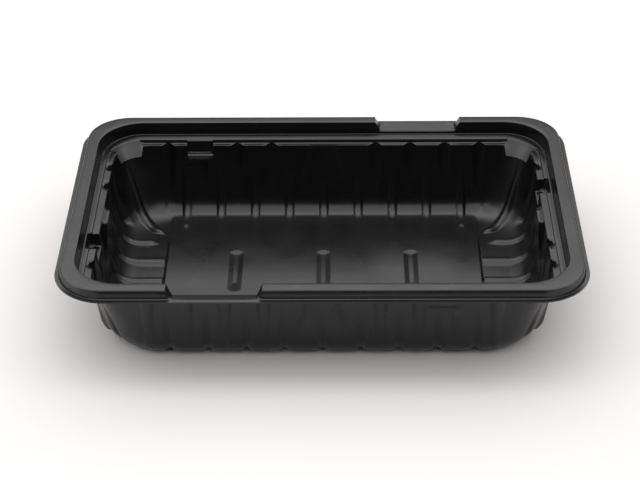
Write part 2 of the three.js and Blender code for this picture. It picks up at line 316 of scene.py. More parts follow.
@dataclass
class Columns:
    """Places round the rim, anticlockwise, each a fixed x, a fixed y or an angle in a corner."""

    RIB = (0.0, 0.75, 1.35, 1.75, 2.05, 2.35, 2.75)
    FLUTE = (0.0, 1.1, 2.0, 2.55, 3.05)
    CENTRE = (0.0, 0.75, 1.35, 1.75, 2.05, 2.35, 2.75, 4.0, 5.35, 5.85, 7.4, 9.2, 11.2)
    BESIDE_LONG = (76.6, 78.3, 80.0)
    BESIDE_END = (33.5, 44.6)
    ARCS = (0, 6, 12, 18, 23.2, 24, 28.5, 33.5, 35.8, 37.1, 38.1, 39.1, 40.5, 42.5, 45,
            47.5, 49.5, 50.9, 51.9, 52.9, 54.2, 56.5, 61, 66, 71, 76.5, 82, 82.8, 86, 90)
    BELOW_RIM_ONLY = (23.2, 37.1, 39.1, 50.9, 52.9, 82.8)
    CROWDED = 0.28
    RIM_STEP = 5.5
    POCKET_EDGE = 0.15
    MARGIN = 0.8

    outline: Outline
    rim: RimSizes
    wall: WallSizes
    ribs: RibSizes
    pockets: PocketSizes
    notch: NotchSizes
    floor: FloorSizes

    def __post_init__(self) -> None:
        """Lays the columns out so that they meet every rib, flute, pocket and notch."""
        ribs, pockets, notch = self.ribs, self.pockets, self.notch
        a = self.outline.length / 2 - self.rim.wall_top - self.wall.top_corner
        b = self.outline.width / 2 - self.rim.wall_top - self.wall.top_corner
        self.top_centre = (a, b)
        edge = [pockets.half - self.POCKET_EDGE, pockets.half + self.POCKET_EDGE]
        cuts = [notch.low, notch.low + notch.toe, (notch.low + notch.high) / 2, notch.high - notch.toe,
                notch.high]
        self.notch_x = sorted({round(s * (notch.x + t * d), 3)
                               for s in (1, -1) for t in (1, -1) for d in cuts})
        long_base = self.pattern(ribs.long_count + 0.5, a - self.MARGIN,
                                 [self.floor.foot_x, *self.BESIDE_LONG])
        end_base = self.pattern(ribs.end_count + 0.5, b - self.MARGIN,
                                [self.floor.grid_y, *self.BESIDE_END])
        back = [pockets.back_x + t * d for t in (1, -1) for d in edge]
        front = [pockets.front_x + t * d for t in (1, -1) for d in edge]
        left = [-pockets.end_y + t * d for t in (1, -1) for d in edge]
        right = [-v for v in left]
        rows = [(Side.END, v, 1, 0) for v in self.merge(end_base, right)]
        rows += [(Side.ARC, t, 1, 1) for t in self.ARCS]
        rows += [(Side.LONG, v, 0, 1) for v in self.merge(long_base, back + self.notch_x)[::-1]]
        rows += [(Side.ARC, t, -1, 1) for t in self.ARCS[::-1]]
        rows += [(Side.END, v, -1, 0) for v in self.merge(end_base, left)[::-1]]
        rows += [(Side.ARC, t, -1, -1) for t in self.ARCS]
        rows += [(Side.LONG, v, 0, -1) for v in self.merge(long_base, front + self.notch_x)]
        rows += [(Side.ARC, t, 1, -1) for t in self.ARCS[::-1]]
        kind = np.array([r[0].value for r in rows])
        self.value = np.array([r[1] for r in rows], float)
        self.sx = np.array([r[2] for r in rows], float)
        self.sy = np.array([r[3] for r in rows], float)
        self.long = kind == Side.LONG.value
        self.end = kind == Side.END.value
        self.arc = kind == Side.ARC.value
        self.along_x = self.long | (self.arc & (self.value > 45))
        self.count = len(rows)

    def pattern(self, last: float, limit: float, extra: list[float]) -> list[float]:
        """Columns that serve the ribs and flutes of one side.

        Args:
            last: Number of the outermost flute.
            limit: No column lies further out than this.
            extra: Further columns.
        Returns:
            Signed places, lowest first.
        """
        found = set(self.CENTRE) | set(extra)
        for k in np.arange(1.0, last + 0.1, 0.5):
            offsets = self.RIB if k == int(k) else self.FLUTE
            found |= {round(k * self.ribs.pitch + s * d, 3) for s in (1, -1) for d in offsets}
        kept = [v for v in sorted(found) if v <= limit]
        return sorted({-v for v in kept} | set(kept))

    def merge(self, base: list[float], extra: list[float]) -> list[float]:
        """Adds columns that must be there and drops base columns that crowd them.

        Args:
            base: Columns of the pattern.
            extra: Columns at the edges of pockets and notches.
        Returns:
            All columns, lowest first.
        """
        fixed = sorted(extra)
        kept = [v for v in base if all(abs(v - f) > self.CROWDED for f in fixed)]
        return sorted(kept + fixed)

    def on_ring(self, inset: float | Array, radius: float | Array) -> tuple[Array, Array]:
        """Plan place of each column on the rounded rectangle at an inset.

        Args:
            inset: Distance in from the trimmed edge.
            radius: Corner radius there.
        Returns:
            X and Y of each column.
        """
        a = self.outline.length / 2 - inset
        b = self.outline.width / 2 - inset
        t = np.radians(self.value)
        arc_x = self.sx * (a - radius + radius * np.cos(t))
        arc_y = self.sy * (b - radius + radius * np.sin(t))
        x = np.where(self.long, self.value, np.where(self.end, self.sx * a, arc_x))
        y = np.where(self.end, self.value, np.where(self.long, self.sy * b, arc_y))
        return x, y

    def beside(self) -> Array:
        """Share of an end's sideways move that each column takes: 1 on the ends, 0 on the long sides."""
        return np.where(self.end, 1.0, np.where(self.arc, np.cos(np.radians(self.value)), 0.0))

    def end_share(self) -> Array:
        """0 on the long sides, 1 on the ends, and an even change between them round the corners."""
        t = np.clip((90 - self.value) / 90, 0, 1)
        return np.where(self.end, 1.0, np.where(self.arc, t * t * (3 - 2 * t), 0.0))

    def rim_columns(self) -> list[int]:
        """Columns that the rim needs: all in the corners and notches, and every few elsewhere.

        Returns:
            Numbers of the columns.
        """
        wanted = []
        last = -math.inf
        for i, v in enumerate(self.value):
            if self.arc[i]:
                if v not in self.BELOW_RIM_ONLY:
                    wanted.append(i)
                    last = -math.inf
                continue
            notch = self.long[i] and any(abs(v - n) < SAME_LINE for n in self.notch_x)
            if notch or abs(v - last) > self.RIM_STEP:
                wanted.append(i)
                last = v
        return wanted


@dataclass
class Section:
    """Rows of the mesh down the section, as inset, height and corner radius."""

    NOTCH_FIRST = 3
    BEAD_INNER = 18
    NOTCH_EDGE = 21
    HEIGHTS = (34.8, 34.5, 33.3, 31.6, 30.6, 30.2, 29.8, 29.3, 28.8, 28.3, 27.7, 26.9, 25.7, 24.2,
               22.4, 20.0, 17.2, 14.2, 11.6)
    ROUND_ROWS = 8

    outline: Outline
    rim: RimSizes
    wall: WallSizes
    notch: NotchSizes

    def __post_init__(self) -> None:
        """Works out the wall line and the base round."""
        draft = math.radians(self.wall.draft)
        self.tan = math.tan(draft)
        self.cos = math.cos(draft)
        self.centre_z = self.outline.sheet + self.wall.base_round
        self.start_z = self.outline.sheet + self.wall.base_round * (1 - math.sin(draft))
        self.foot = self.wall_inset(self.start_z) + self.wall.base_round * self.cos

    def wall_inset(self, z: float | Array) -> float | Array:
        """Inset of the straight wall at a height."""
        return self.rim.wall_top + (self.rim.step_z - z) * self.tan

    def corner(self, inset: float, z: float) -> float:
        """Corner radius of the wall, conical, and of the base round inside it.

        Args:
            inset: Inset of the row.
            z: Its height.
        Returns:
            The radius.
        """
        grow = (self.rim.step_z - z) / (self.rim.step_z - self.outline.sheet)
        cone = self.wall.top_corner + (self.wall.base_corner - self.wall.top_corner) * grow
        return cone - (inset - self.wall_inset(z)) if z < self.start_z else cone

    def rim_rows(self) -> tuple[Array, Array]:
        """Rows of the rim from the trimmed edge to the seat.

        Returns:
            The full section as inset, height and radius, and the section in a notch as inset and height.
        """
        r, o = self.rim, self.outline
        full = [
            (0.0, r.lip_z, o.corner), (0.9, r.lip_z, o.corner - 0.9), (1.5, r.lip_z, o.corner - 1.6),
            (1.82, r.lip_z + 0.08, 20.1), (2.0, r.lip_z + 0.42, 19.5), (2.3, 42.1, 18.9),
            (2.6, r.top_z - r.outer_round, 18.4),
        ]
        for angle in (158, 134, 112, 90):
            t = math.radians(angle)
            full.append((r.outer + r.outer_round * (1 + math.cos(t)),
                         r.top_z - r.outer_round * (1 - math.sin(t)),
                         r.outer_corner - 0.1 - 0.4 * math.cos(t) ** 2))
        full += [(4.8, r.top_z, 18.4), (5.5, r.top_z, 19.0), (6.2, r.top_z, 19.5)]
        for angle in (90, 62, 32, 0):
            t = math.radians(angle)
            full.append((r.inner - r.inner_round * (1 - math.cos(t)),
                         r.top_z - r.inner_round * (1 - math.sin(t)),
                         r.inner_corner + 0.4 * math.sin(t) ** 2))
        full += [
            (7.98, 42.9, 19.5), (7.84, 41.6, 19.3), (7.64, 40.2, 18.95), (7.47, r.snap_z, r.seat_corner),
            (r.seat + 0.03, 38.15, r.seat_corner), (r.seat + 0.1, 37.95, 18.5), (r.seat + 0.3, 37.86, 18.3),
            (8.25, 37.8, 17.9),
        ]
        full = np.array(full)
        return full, self.notch_rows(full)

    def notch_rows(self, full: Array) -> Array:
        """Rows of the rim in a notch, where a sloping floor stands for the bead.

        Args:
            full: Section of the rim beside the notch.
        Returns:
            Inset and height of each row.
        """
        r, n = self.rim, self.notch
        out = full[:, :2].copy()
        first, last = self.NOTCH_FIRST, self.BEAD_INNER
        for i in range(first, last + 1):
            inset = r.foot + (n.floor_end - r.foot) * (i - first) / (last - first)
            out[i] = (inset, r.lip_z - n.fall * (inset - r.foot) / (r.inner + 0.6 - r.foot))
        out[last + 1] = (7.3, 39.2)
        out[last + 2] = (7.42, 39.1)
        out[self.NOTCH_EDGE] = (7.46, 38.75)
        return out

    def end_rim(self, full: Array) -> Array:
        """Rim section of the ends, where the snap wall has no undercut.

        Args:
            full: Section of the long sides.
        Returns:
            Inset and height of each row.
        """
        r, top = self.rim, self.BEAD_INNER
        out = full[:, :2].copy()
        for i in range(top, len(full)):
            t = (i - top) / (len(full) - 4 - top)
            if t <= 1:
                out[i, 0] = r.inner + (r.end_seat - r.inner) * t
        out[-3:] = [(r.end_seat + 0.05, 37.2), (r.end_seat + 0.3, r.seat_z + 0.06),
                    (r.end_seat + 0.6, r.seat_z)]
        return out

    def wall_rows(self) -> tuple[Array, int]:
        """Rows from the seat down the step and the wall to the foot of the base round.

        Returns:
            Inset, height and corner radius of each row, and the number of rows above the wall.
        """
        r, top = self.rim, self.wall.top_corner
        grow = (r.seat_corner - top) / r.seat_width
        seat = [(i, z, r.seat_corner - (i - r.seat) * grow)
                for i, z in ((8.6, 37.76), (8.9, 37.66), (9.7, 37.25), (10.48, 36.9))]
        step = [(10.62, 36.78, top), (10.72, 36.5, top), (10.92, 35.4, top),
                (11.02, 35.22, top), (r.wall_top - 0.7, r.step_z + 0.13, top),
                (r.wall_top - 0.35, r.step_z + 0.06, top)]
        heights = (*self.HEIGHTS, self.start_z)
        wall = [(self.wall_inset(z), z, self.corner(self.wall_inset(z), z)) for z in heights]
        rounds = []
        for i in range(1, self.ROUND_ROWS + 1):
            t = math.radians(180 + self.wall.draft + (90 - self.wall.draft) * i / self.ROUND_ROWS)
            inset = self.foot + self.wall.base_round * math.cos(t)
            z = self.centre_z + self.wall.base_round * math.sin(t)
            rounds.append((inset, z, self.corner(inset, z)))
        return np.array(seat + step + wall + rounds), len(seat) + len(step)

    def end_wall(self, rows: Array, above: int) -> Array:
        """Section of the ends from the seat down: a wide ledge and a steeper wall.

        Args:
            rows: Section of the long sides.
            above: Number of rows above the wall.
        Returns:
            Inset and height of each row.
        """
        r = self.rim
        out = rows[:, :2].copy()
        out[:above] = [(9.4, r.seat_z), (10.1, r.seat_z), (10.7, r.seat_z - 0.02),
                       (r.end_step, r.seat_z - 0.08),
                       (r.end_step + 0.12, r.end_step_z + 0.12), (r.end_step + 0.3, r.end_step_z),
                       (12.4, r.end_step_z), (13.6, r.end_step_z), (r.end_edge - 0.15, r.end_step_z - 0.04),
                       (r.end_edge, r.end_step_z - 0.2)]
        z = rows[above:, 1]
        lean = (self.wall_inset(self.start_z) - r.end_edge) / (r.end_step_z - self.start_z)
        steep = r.end_edge + (r.end_step_z - z) * lean
        out[above:, 0] = np.where(z > self.start_z, steep, rows[above:, 0])
        return out

    def straight_distance(self, inset: Array, z: Array) -> Array:
        """How far a point stands inside the cavity, from the section of a straight side.

        Args:
            inset: Inset of each point.
            z: Height of each point.
        Returns:
            Distance from the plain skin.
        """
        dx, dz = inset - self.foot, z - self.centre_z
        wall = (inset - self.wall_inset(z)) * self.cos
        floor = z - self.outline.sheet
        arc = self.wall.base_round - np.hypot(dx, dz)
        in_arc = (dx < 0) & (dz < 0) & (np.arctan2(-dz, -dx) >= math.radians(self.wall.draft))
        return np.where(in_arc, arc, np.where(dx >= 0, np.minimum(floor, wall), wall))


@dataclass
class Tray:
    """The formed sheet: an upper skin of rows and columns, and its other side one sheet below."""

    FLOOR_SHARES = (0.06, 0.13, 0.2, 0.28, 0.37, 0.5, 0.65, 0.79, 0.86, 0.92, 0.97)
    HALVINGS = 34
    CHANNEL_HALVINGS = 18
    EDGE_COLUMNS = (5.35, 5.85)
    WARP_REACH = 14.0
    FLOOR_ZONE_Z = 8.0
    CAVITY_Z = 60.0
    PIP_PITCHES = 4
    CHANNELS = (-1, 0, 1)

    outline: Outline = Outline()
    rim: RimSizes = RimSizes()
    wall: WallSizes = WallSizes()
    ribs: RibSizes = RibSizes()
    flutes: FluteSizes = FluteSizes()
    panel: PanelSizes = PanelSizes()
    pockets: PocketSizes = PocketSizes()
    pads: PadSizes = PadSizes()
    notch: NotchSizes = NotchSizes()
    floor: FloorSizes = FloorSizes()
    soft: SoftZone = SoftZone()
    section: Section = field(init=False)
    columns: Columns = field(init=False)

    def __post_init__(self) -> None:
        """Lays out rows and columns from the sizes."""
        self.section = Section(self.outline, self.rim, self.wall, self.notch)
        self.columns = Columns(self.outline, self.rim, self.wall, self.ribs, self.pockets, self.notch,
                               self.floor)

    # Where the columns stand

    def base_points(self) -> tuple[Array, Array]:
        """Plan place of each column at the foot of the base round.

        Columns that meet the floor grid run straight down. The others fan out over the corner.

        Returns:
            X and Y of each column.
        """
        c = self.columns
        radius = self.section.corner(self.section.foot, self.outline.sheet)
        a = self.outline.length / 2 - self.section.foot
        b = self.outline.width / 2 - self.section.foot
        cx, cy = a - radius, b - radius
        xc, yc = self.floor.foot_x, self.floor.grid_y
        ax, ay = c.top_centre
        top = self.wall.top_corner
        v = np.abs(c.value)
        run = np.where(c.long, v - xc,
                       np.where(c.arc, ax - xc + top * (np.pi / 2 - np.radians(c.value)),
                                ax - xc + top * np.pi / 2 + ay - v))
        total = ax - xc + top * np.pi / 2 + ay - yc
        first, last = math.acos((xc - cx) / radius), math.asin((yc - cy) / radius)
        angle = first + (last - first) * np.clip(run / total, 0, 1)
        sx = np.where(c.long, np.sign(c.value), c.sx)
        sy = np.where(c.end, np.sign(c.value), c.sy)
        x = sx * (cx + radius * np.cos(angle))
        y = sy * (cy + radius * np.sin(angle))
        plain_long = c.long & (v <= xc + NEAR)
        plain_end = c.end & (v <= yc + NEAR)
        lower = np.sqrt(np.maximum(radius ** 2 - np.maximum(v - cx, 0) ** 2, 0))
        across = np.sqrt(np.maximum(radius ** 2 - np.maximum(v - cy, 0) ** 2, 0))
        x = np.where(plain_long, c.value, np.where(plain_end, c.sx * (cx + across), x))
        y = np.where(plain_end, c.value, np.where(plain_long, c.sy * (cy + lower), y))
        return x, y

    def cross(self, top: tuple[Array, Array], foot: tuple[Array, Array], inset: float,
              radius: float) -> tuple[Array, Array]:
        """Where the plan line of each column crosses a rounded rectangle.

        Args:
            top: Plan places at the wall top.
            foot: Plan places at the foot of the base round.
            inset: Inset of the rectangle.
            radius: Its corner radius.
        Returns:
            X and Y of each column.
        """
        a = self.outline.length / 2 - inset - radius
        b = self.outline.width / 2 - inset - radius
        low, high = np.full(self.columns.count, -0.05), np.full(self.columns.count, 1.05)
        for _ in range(self.HALVINGS):
            s = (low + high) / 2
            x = top[0] + (foot[0] - top[0]) * s
            y = top[1] + (foot[1] - top[1]) * s
            qx, qy = np.abs(x) - a, np.abs(y) - b
            out = np.hypot(np.maximum(qx, 0), np.maximum(qy, 0)) + np.minimum(np.maximum(qx, qy), 0)
            outside = out > radius
            low, high = np.where(outside, s, low), np.where(outside, high, s)
        return x, y

    def warped(self, value: Array, z: float) -> Array:
        """Moves the columns beside a wall panel so that they follow its slanting edges.

        Args:
            value: Places along the side.
            z: Height of the row.
        Returns:
            The moved places.
        """
        p = self.panel
        half = float(np.interp(z, (self.section.start_z - 4, *p.heights), (p.foot_half, *p.halves)))
        known = [0.0, p.steady, *self.EDGE_COLUMNS, p.clear]
        there = [0.0, p.steady, half - p.edge, half + p.edge, p.clear]
        near = np.abs(value) < p.clear
        return np.where(near, np.sign(value) * np.interp(np.abs(value), known, there), value)

    # The upper skin

    def rim_skin(self) -> Array:
        """Rim rows on every column, with the notches cut in.

        Returns:
            Points as rows by columns by three.
        """
        c = self.columns
        full, notch = self.section.rim_rows()
        ends = self.section.end_rim(full)
        centre = np.where(c.sy > 0, self.notch.x, -self.notch.x)
        share = np.where(c.long, ramp(np.abs(c.value - centre), self.notch.low, self.notch.high), 1.0)
        turn = c.end_share()
        rows = []
        for (inset, z, radius), (low_inset, low_z), (end_inset, end_z) in zip(full, notch, ends):
            at = low_inset + (inset - low_inset) * share
            x, y = c.on_ring(at, radius)
            x = x - c.sx * (end_inset - inset) * c.beside()
            height = low_z + (z - low_z) * share
            rows.append(np.stack([x, y, height + (end_z - z) * turn], axis=-1))
        return np.array(rows)

    def plain_rows(self, rows: Array, ends: Array, above: int) -> list[Array]:
        """Seat, step, wall and base round on every column, without relief.

        Args:
            rows: Section of the long sides.
            ends: Section of the ends.
            above: Number of rows above the wall.
        Returns:
            Rows of points.
        """
        c = self.columns
        top = c.on_ring(self.rim.wall_top, self.wall.top_corner)
        foot = self.base_points()
        turn = c.end_share()
        near = np.abs(c.value) < self.WARP_REACH
        grid = []
        for i, ((inset, z, radius), (end_inset, end_z)) in enumerate(zip(rows, ends)):
            x, y = c.on_ring(inset, radius) if i < above else self.cross(top, foot, inset, radius)
            if z <= self.rim.step_z + 1:
                x = np.where(c.long & near, self.warped(c.value, z), x)
                y = np.where(c.end & near, self.warped(c.value, z), y)
            x = x - c.sx * (end_inset - inset) * c.beside()
            grid.append(np.stack([x, y, z + (end_z - z) * turn], axis=-1))
        return grid

    def floor_rows(self) -> list[Array]:
        """Rows of the low floor between the base round and the floor grid.

        Returns:
            Rows of points.
        """
        c = self.columns
        foot = self.base_points()
        xg, yg = self.floor.foot_x, self.floor.grid_y
        gx = np.where(c.long & (np.abs(c.value) <= xg + NEAR), c.value,
                      np.where(c.sx != 0, c.sx, np.sign(c.value)) * xg)
        gy = np.where(c.end & (np.abs(c.value) <= yg + NEAR), c.value,
                      np.where(c.sy != 0, c.sy, np.sign(c.value)) * yg)
        grid = []
        for share in self.FLOOR_SHARES:
            x = foot[0] + (gx - foot[0]) * share
            y = foot[1] + (gy - foot[1]) * share
            grid.append(np.stack([x, y, np.full_like(x, self.outline.sheet)], axis=-1))
        return grid

    def wall_skin(self) -> Array:
        """Rows from the seat to the edge of the flat floor grid, with all features.

        Returns:
            Points as rows by columns by three.
        """
        c = self.columns
        rows, above = self.section.wall_rows()
        ends = self.section.end_wall(rows, above)
        skin = np.array(self.plain_rows(rows, ends, above) + self.floor_rows())
        self.cut_flutes_in_step(skin, above)
        plain = skin.copy()
        wider = np.zeros(len(skin) - above)
        wider[:len(rows) - above] = (ends[:, 0] - rows[:, 0])[above:]
        normals = self.normals(plain)
        normals[above:above + 2] = normals[above + 2]
        skin[above:] += normals[above:] * self.relief(plain[above:], wider)[..., None]
        panel = c.end & (np.abs(c.value) < self.panel.halves[-1] - 0.2)
        skin[above - 1, panel, 2] = self.rim.step_z - 0.1
        skin[above - 1, panel, 0] -= c.sx[panel]
        skin[above, panel, 2] = self.rim.step_z
        self.set_pads(skin, above)
        self.set_pockets(skin, above)
        self.raise_floor(skin)
        return skin

    def normals(self, skin: Array) -> Array:
        """Unit normals of a grid that closes round its columns, towards the cavity.

        Args:
            skin: Points as rows by columns by three.
        Returns:
            A normal for each point.
        """
        down = np.gradient(skin, axis=0)
        round_ = np.roll(skin, -1, axis=1) - np.roll(skin, 1, axis=1)
        n = np.cross(round_, down)
        n /= np.maximum(np.linalg.norm(n, axis=-1, keepdims=True), TINY)
        inward = np.stack([-skin[..., 0], -skin[..., 1], self.CAVITY_Z - skin[..., 2]], axis=-1)
        flip = np.sign(np.sum(n * inward, axis=-1, keepdims=True))
        return n * np.where(flip == 0, 1, flip)

    def lateral(self, skin: Array) -> tuple[Array, Array]:
        """Place along the side and inset of each point, seen from the side that carries it.

        Args:
            skin: Points as rows by columns by three.
        Returns:
            Place and inset of each point.
        """
        along = self.columns.along_x[None, :]
        place = np.where(along, skin[..., 0], skin[..., 1])
        inset = np.where(along, self.outline.width / 2 - np.abs(skin[..., 1]),
                         self.outline.length / 2 - np.abs(skin[..., 0]))
        return place, inset

    # Relief of the wall

    def relief(self, skin: Array, wider: Array) -> Array:
        """How far ribs, flutes, wall panels and sills move the plain skin towards the cavity.

        Args:
            skin: Plain points.
            wider: How much further in the wall of the ends stands on each row.
        Returns:
            Distance for each point.
        """
        z = skin[..., 2]
        place, inset = self.lateral(skin)
        along = np.broadcast_to(self.columns.along_x[None, :], z.shape)
        d = self.section.straight_distance(inset - np.where(along, 0.0, wider[:, None]), z)
        out = np.maximum(self.side_ribs(place, inset, z, d, along), self.corner_ribs(skin))
        p = self.panel
        half = np.interp(z, p.heights, p.halves)
        proud = np.where(along, np.interp(z, p.heights, p.proud, left=0.0),
                         np.interp(z, p.heights, p.end_proud, left=0.0))
        out = np.maximum(out, proud * ramp(np.abs(place), half + p.edge, half - p.edge))
        out = out - self.flute_cut(place, z, d, along)
        return np.maximum(out, self.sills(place, z))

    def side_ribs(self, place: Array, inset: Array, z: Array, d: Array, along: Array) -> Array:
        """Ribs of the four walls, running on over the floor at the ends.

        Args:
            place: Place of each point along its side.
            inset: Its inset.
            z: Its height.
            d: Its distance inside the straight section.
            along: Whether a long side carries it.
        Returns:
            Height over the skin.
        """
        r = self.ribs
        number = np.round(place / r.pitch)
        limit = np.where(along, r.long_count, r.end_count)
        top = np.where(number == 0, r.middle_top_z, r.top_z)
        crest = r.height * np.clip((top - z) / (top - self.section.start_z), -0.5, 1.0)
        run = self.outline.length / 2 - self.floor.foot_x - r.end_gap
        stop = np.where(along, self.section.foot + r.floor_run,
                        run - np.where(np.abs(number) == r.end_count, r.outer_short_by, 0.0))
        over = np.maximum(inset - (stop - r.radius * 0.6), 0.0)
        height = crest - r.radius + round_profile(np.hypot(place - r.pitch * number, over), r.radius) - d
        return smooth_max(np.where(np.abs(number) <= limit, height, ABSENT), 0.0, r.fillet)

    def corner_ribs(self, skin: Array) -> Array:
        """Diagonal ribs of the corners.

        Args:
            skin: Plain points.
        Returns:
            Height over the skin.
        """
        r, section = self.ribs, self.section
        x, y, z = np.abs(skin[..., 0]), np.abs(skin[..., 1]), skin[..., 2]
        spread = (x - y - (self.outline.length - self.outline.width) / 2) / math.sqrt(2)
        crest = r.height * np.clip((r.corner_top_z - z) / (r.corner_top_z - section.start_z), -0.5, 1)
        radius = section.corner(section.foot, self.outline.sheet)
        centre = self.outline.width / 2 - section.foot - radius
        reach = (y - centre - radius * math.sqrt(0.5)) * math.sqrt(2)
        over = np.maximum(-reach - r.corner_run + r.radius * 0.6, 0.0)
        height = crest - r.radius + round_profile(np.hypot(spread, over), r.radius)
        there = (x > r.corner_x) & (y > r.corner_y)
        return smooth_max(np.where(there, height, ABSENT), 0.0, r.fillet)

    def near_flute(self, place: Array, along: Array) -> tuple[Array, Array]:
        """Distance of each point from the middle line of the flute nearest to it.

        Args:
            place: Place of each point along its side.
            along: Whether a long side carries it.
        Returns:
            The distance, and whether there is a flute on that line.
        """
        r = self.ribs
        number = np.floor(place / r.pitch) + 0.5
        last = np.where(along, r.long_count, r.end_count) + 0.6
        fluted = (np.abs(number) >= self.flutes.first) & (np.abs(number) < last)
        return np.abs(place - r.pitch * number), fluted

    def flute_cut(self, place: Array, z: Array, d: Array, along: Array) -> Array:
        """Depth of the flutes below the plain skin.

        Args:
            place: Place of each point along its side.
            z: Its height.
            d: Its distance inside the straight section.
            along: Whether a long side carries it.
        Returns:
            Depth, 0 beside the flutes.
        """
        f = self.flutes
        s, fluted = self.near_flute(place, along)
        deep = np.where(along, f.depth, f.end_depth)
        depth = deep * (z - f.fade_z) / (self.rim.step_z - f.fade_z)
        cut = depth - f.radius + round_profile(s, f.radius) + d
        return smooth_max(np.where(fluted & (depth > f.run_out), cut, ABSENT), 0.0, f.fillet)

    def pocket_places(self) -> list[Pocket]:
        """One pocket on each side of the tray.

        Returns:
            The pockets.
        """
        c, p = self.columns, self.pockets
        return [
            Pocket(c.long & (c.sy > 0), p.back_x, p.depth_long),
            Pocket(c.long & (c.sy < 0), p.front_x, p.depth_long),
            Pocket(c.end & (c.sx < 0), -p.end_y, p.depth_end),
            Pocket(c.end & (c.sx > 0), p.end_y, p.depth_end),
        ]

    def sills(self, place: Array, z: Array) -> Array:
        """Rolled sills under the pockets, with the flutes bridged from there up.

        Args:
            place: Place of each point along its side.
            z: Its height.
        Returns:
            Height over the skin, far below it elsewhere.
        """
        p = self.pockets
        out = np.full(z.shape, ABSENT)
        level = (z - (p.floor_z - p.sill_drop)) / self.section.cos
        for pocket in self.pocket_places():
            s = np.maximum(np.abs(place - pocket.middle) - (p.half - p.sill_short), 0.0)
            q = np.hypot(level, s)
            roll = p.sill_proud - p.sill_radius + np.sqrt(np.maximum(p.sill_radius ** 2 - q * q, TINY))
            roll = np.where(q < p.sill_radius, roll, ABSENT)
            bridge = (level > -p.sill_radius) & (s <= 0.0)
            roll = np.where(bridge, np.maximum(roll, 0.0), roll)
            out = np.where(pocket.columns[None, :], np.maximum(out, roll), out)
        return out

    # Features set into the skin

    def cut_flutes_in_step(self, skin: Array, above: int) -> None:
        """Lets the flutes cut the ledge and the step down from the seat.

        Args:
            skin: Points, changed in place.
            above: Number of rows above the wall.
        """
        c, f = self.columns, self.flutes
        place, inset = self.lateral(skin[:above])
        z = skin[:above, :, 2]
        s, fluted = self.near_flute(place, c.along_x[None, :])
        edge = np.where(c.end[None, :], self.rim.end_edge, self.rim.wall_top)
        deep = np.where(c.end[None, :], f.end_depth, f.depth)
        groove = edge - deep + f.radius - np.sqrt(np.maximum(f.radius * f.radius - s * s, 0))
        there = (s < f.radius) & fluted & ~c.arc[None, :]
        cut = np.where(there, np.maximum(inset - groove, 0.0), 0.0)
        share = np.clip(cut / 0.4, 0, 1)
        low = np.interp(np.arange(above), (3, above), (self.rim.seat_z - 0.2, 34.5))[:, None]
        outward = np.where(c.along_x[None, :], np.sign(skin[:above, :, 1]), 0.0)
        skin[:above, :, 1] += cut * outward
        sideways = np.where(c.along_x[None, :], 0.0, np.sign(skin[:above, :, 0]))
        skin[:above, :, 0] += cut * sideways
        skin[:above, :, 2] = z + (low - z) * share

    def set_pads(self, skin: Array, above: int) -> None:
        """Puts the sloping pads into the corners.

        Args:
            skin: Points, changed in place.
            above: Number of rows above the wall.
        """
        c, p = self.columns, self.pads
        top = self.rim.wall_top - self.rim.step_width
        path = [(top - 0.85, p.top_z), (top - 0.7, p.top_z - 0.2), (top + p.reach, p.foot_z),
                (top + p.reach - 0.5, p.foot_z - 0.4), (self.section.wall_inset(p.back_z), p.back_z)]
        first, last = 4, above + 5
        points = resample(path, [1, last - first - 6, 2, 3])
        inside = c.arc & (c.value > p.first_angle) & (c.value < p.last_angle)
        centre = self.wall.top_corner + top
        for row, (inset, z) in zip(range(first, last), points):
            x, y = c.on_ring(inset, centre - inset)
            skin[row, inside, 0] = x[inside]
            skin[row, inside, 1] = y[inside]
            skin[row, inside, 2] = z

    def set_pockets(self, skin: Array, above: int) -> None:
        """Sinks the pockets into seat, step and wall top.

        Args:
            skin: Points, changed in place.
            above: Number of rows above the wall.
        """
        p, c = self.pockets, self.columns
        last = above + 6
        for pocket in self.pocket_places():
            at_end = bool(c.end[pocket.columns].all())
            first = 1 if at_end else 3
            back = self.rim.wall_top - pocket.depth
            shelf = self.rim.end_edge + 0.45 if at_end else self.section.wall_inset(p.floor_z)
            top = self.rim.seat_z - (0.0 if at_end else 0.3)
            path = [(back - 0.1, top), (back, top - 0.15), (back, p.floor_z + 0.5),
                    (back + 0.2, p.floor_z + 0.3), (shelf - 0.1, p.floor_z - 0.05)]
            points = resample(path, [1, last - first - 6, 2, 3])
            inside = pocket.columns & (np.abs(c.value - pocket.middle) < p.half)
            axis, reach = (0, self.outline.length / 2) if at_end else (1, self.outline.width / 2)
            for row, (inset, z) in zip(range(first, last), points):
                place = skin[row, inside]
                place[:, axis] = np.sign(place[:, axis]) * (reach - inset)
                place[:, 2] = z
                skin[row, inside] = place

    def floor_height(self, x: Array, y: Array) -> Array:
        """Height of the raised floor panel with its channels, and of the low floor beside it.

        Args:
            x: X of each point.
            y: Y of each point.
        Returns:
            Height of each point.
        """
        f = self.floor
        low = self.outline.sheet
        z = low + f.rise * ramp(np.abs(x), f.foot_x, f.panel_half)
        for k in self.CHANNELS:
            share = self.channel_share(np.abs(x - k * f.channel_spacing), y)
            z = np.minimum(z, low + f.rise - f.channel_depth * (1 - share))
        return z

